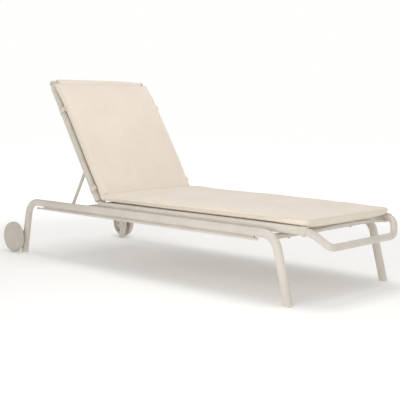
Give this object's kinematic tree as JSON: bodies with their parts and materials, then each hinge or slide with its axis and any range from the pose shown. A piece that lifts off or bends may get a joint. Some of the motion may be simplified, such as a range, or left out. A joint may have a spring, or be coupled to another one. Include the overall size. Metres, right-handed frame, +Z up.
{
  "type": "reclining sun lounger",
  "caption": "Low reclining sun lounger: bent tube side frames, rope-wound bed and hinged backrest with a prop, folded pad, foot-end lift handle and head-end wheels.",
  "frame": {"origin": "on the floor, under the middle of the overall length and width", "axes": "+X towards the foot end and the lift handle, +Y towards the left hand of someone lying on it, +Z up"},
  "size_m": [2.046, 0.8, 0.9155],
  "materials": {
    "frame_paint": "satin powder coat",
    "rope": "braided outdoor rope",
    "pad_fabric": "plain-woven outdoor fabric",
    "wheel_plastic": "moulded, satin",
    "wheel_tread": "matt",
    "glide_plastic": "moulded, matt",
    "bush_plastic": "moulded, smooth",
    "steel": "stainless"
  },
  "bodies": {
    "chassis": {"side_frame_left": "frame_paint", "rail_keel_left": "frame_paint", "wheel_bracket_left": "frame_paint", "hinge_ear_left": "frame_paint", "prop_rack_left": "frame_paint", "axle_bolt_left": "steel", "hinge_pin_left": "steel", "seat_winding_left": "rope", "side_frame_right": "frame_paint", "rail_keel_right": "frame_paint", "wheel_bracket_right": "frame_paint", "hinge_ear_right": "frame_paint", "prop_rack_right": "frame_paint", "axle_bolt_right": "steel", "hinge_pin_right": "steel", "seat_winding_right": "rope", "rear_cross_tube": "frame_paint", "front_cross_tube": "frame_paint", "seat_frame": "frame_paint", "seat_rear_tube": "frame_paint", "seat_middle_tube": "frame_paint", "seat_front_tube": "frame_paint", "seat_foot_bar": "frame_paint", "foot_glides": "glide_plastic", "seat_tube_caps": "glide_plastic", "seat_saddles": "glide_plastic", "rope_pegs": "glide_plastic", "axle_nuts": "steel", "saddle_bolts": "steel", "seat_rope_deck": "rope", "seat_cushion": "pad_fabric"},
    "backrest": {"back_winding_left": "rope", "hinge_plug_left": "frame_paint", "prop_lug_left": "steel", "hinge_bush_left": "bush_plastic", "back_winding_right": "rope", "hinge_plug_right": "frame_paint", "prop_lug_right": "steel", "hinge_bush_right": "bush_plastic", "back_frame": "frame_paint", "back_lower_tube": "frame_paint", "back_upper_tube": "frame_paint", "back_rope_deck": "rope", "back_cushion": "pad_fabric", "cushion_hood": "pad_fabric", "cushion_straps": "pad_fabric"},
    "prop": {"prop_bail": "frame_paint", "prop_foot_caps": "glide_plastic"},
    "wheel_left": {"wheel_core_left": "wheel_plastic", "wheel_cover_left": "wheel_plastic", "wheel_tyre_left": "wheel_tread", "wheel_bush_left": "bush_plastic"},
    "wheel_right": {"wheel_core_right": "wheel_plastic", "wheel_cover_right": "wheel_plastic", "wheel_tyre_right": "wheel_tread", "wheel_bush_right": "bush_plastic"}
  },
  "joints": [
    {"name": "backrest_recline", "type": "hinge", "parent": "chassis", "child": "backrest", "pos_m": [-0.333, 0, 0.33], "axis": [0, 1, 0], "range_deg": [-58.2, 0]},
    {"name": "prop_swing", "type": "hinge", "parent": "backrest", "child": "prop", "pos_m": [-0.43628, 0, 0.49658], "axis": [0, 1, 0], "range_deg": [0, 102.5]},
    {"name": "wheel_left_spin", "type": "hinge", "parent": "chassis", "child": "wheel_left", "pos_m": [-0.943, 0.387, 0.0825], "axis": [0, 1, 0], "continuous": true},
    {"name": "wheel_right_spin", "type": "hinge", "parent": "chassis", "child": "wheel_right", "pos_m": [-0.943, -0.387, 0.0825], "axis": [0, 1, 0], "continuous": true}
  ],
  "couplings": [
    {"joint": "prop_swing", "follows": "backrest_recline", "ratio": -1.7557}
  ]
}
